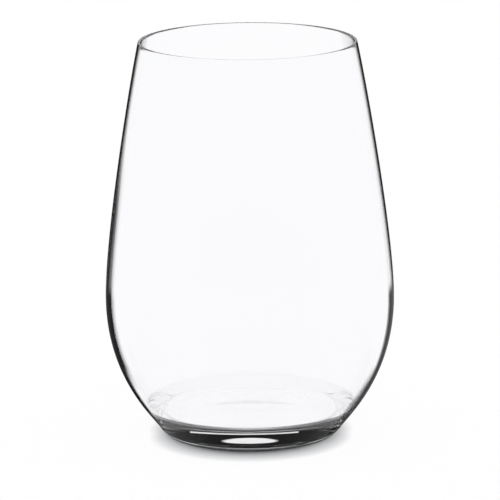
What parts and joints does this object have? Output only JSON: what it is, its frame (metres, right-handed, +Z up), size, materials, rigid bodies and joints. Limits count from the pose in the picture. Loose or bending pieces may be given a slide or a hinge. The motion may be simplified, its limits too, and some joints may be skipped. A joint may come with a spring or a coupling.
{
  "type": "stemless wine glass",
  "caption": "Clear stemless wine glass: a tulip bowl with a thin melted rim that narrows to the mouth, on a thick rounded foot.",
  "frame": {"origin": "on the table at the centre of the foot", "axes": "+Z up along the glass's axis, +X and +Y level; the glass is the same all round"},
  "size_m": [0.0786, 0.0786, 0.108],
  "materials": {
    "clear_crystal": "clear, fire-polished"
  },
  "bodies": {
    "root": {"stemless_glass": "clear_crystal"}
  },
  "joints": []
}
